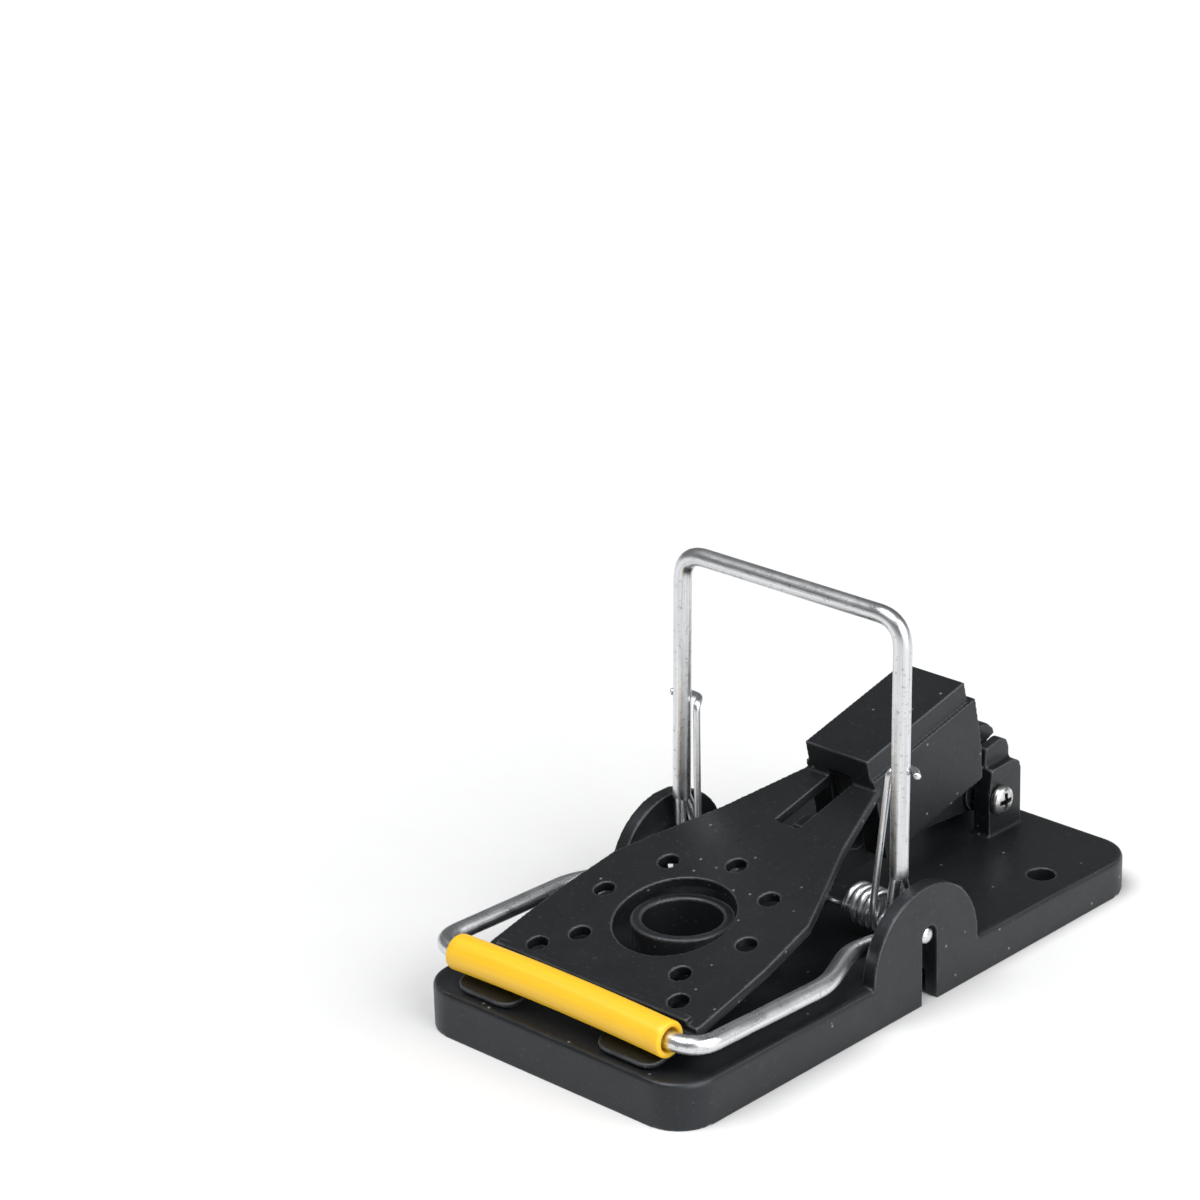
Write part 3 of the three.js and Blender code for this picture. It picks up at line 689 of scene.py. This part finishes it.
def add_floor():
    size, steps = FLOOR_HALF, FLOOR_STEPS
    grid = [(-size + 2 * size * i / steps, -size + 2 * size * j / steps, -FLOOR_DROP)
            for j in range(steps + 1) for i in range(steps + 1)]
    row = steps + 1
    faces = [(j * row + i, j * row + i + 1, (j + 1) * row + i + 1, (j + 1) * row + i)
             for j in range(steps) for i in range(steps)]
    floor = add_object("floor", grid, faces)
    floor.data.materials.append(floor_paper())


def add_light(name, towards, spread, strength):
    """A very large soft source far away in the given direction; spread is its width in degrees."""
    lamp = bpy.data.lights.new(name, "SUN")
    lamp.angle = math.radians(spread)
    lamp.energy = strength
    obj = bpy.data.objects.new(name, lamp)
    bpy.context.scene.collection.objects.link(obj)
    obj.rotation_euler = Vector(towards).to_track_quat("Z", "Y").to_euler()


def add_camera():
    azimuth, elevation, roll = (math.radians(v) for v in (VIEW_AZIMUTH, VIEW_ELEVATION, VIEW_ROLL))
    back = Vector((math.sin(azimuth) * math.cos(elevation), -math.cos(azimuth) * math.cos(elevation),
                   math.sin(elevation)))
    right = Quaternion(back, roll) @ Vector((math.cos(azimuth), math.sin(azimuth), 0))
    up = back.cross(right)
    lens = bpy.data.cameras.new("camera")
    lens.lens = VIEW_LENS
    lens.sensor_width = 36.0
    lens.clip_start, lens.clip_end = 0.01, 20.0
    camera = bpy.data.objects.new("camera", lens)
    bpy.context.scene.collection.objects.link(camera)
    camera.matrix_world = Matrix((right, up, back)).transposed().to_4x4()
    camera.location = (back * VIEW_DISTANCE - right * VIEW_ASIDE[0] - up * VIEW_ASIDE[1]) * MM
    bpy.context.scene.camera = camera


def add_studio():
    world = bpy.data.worlds.new("studio")
    world.use_nodes = True
    world.node_tree.nodes["Background"].inputs["Color"].default_value = WORLD_COLOUR
    world.node_tree.nodes["Background"].inputs["Strength"].default_value = WORLD_STRENGTH
    bpy.context.scene.world = world
    add_light("key", *KEY_LIGHT)
    add_light("fill", *FILL_LIGHT)
    bpy.context.scene.view_settings.view_transform = "Standard"


add_camera()
make_base()
make_pedal()
make_catch()
make_striker()
make_handle()
make_sleeve()
for pin_side in SIDES:
    make_pin(pin_side)
make_spring()
make_screw()
add_floor()
add_studio()
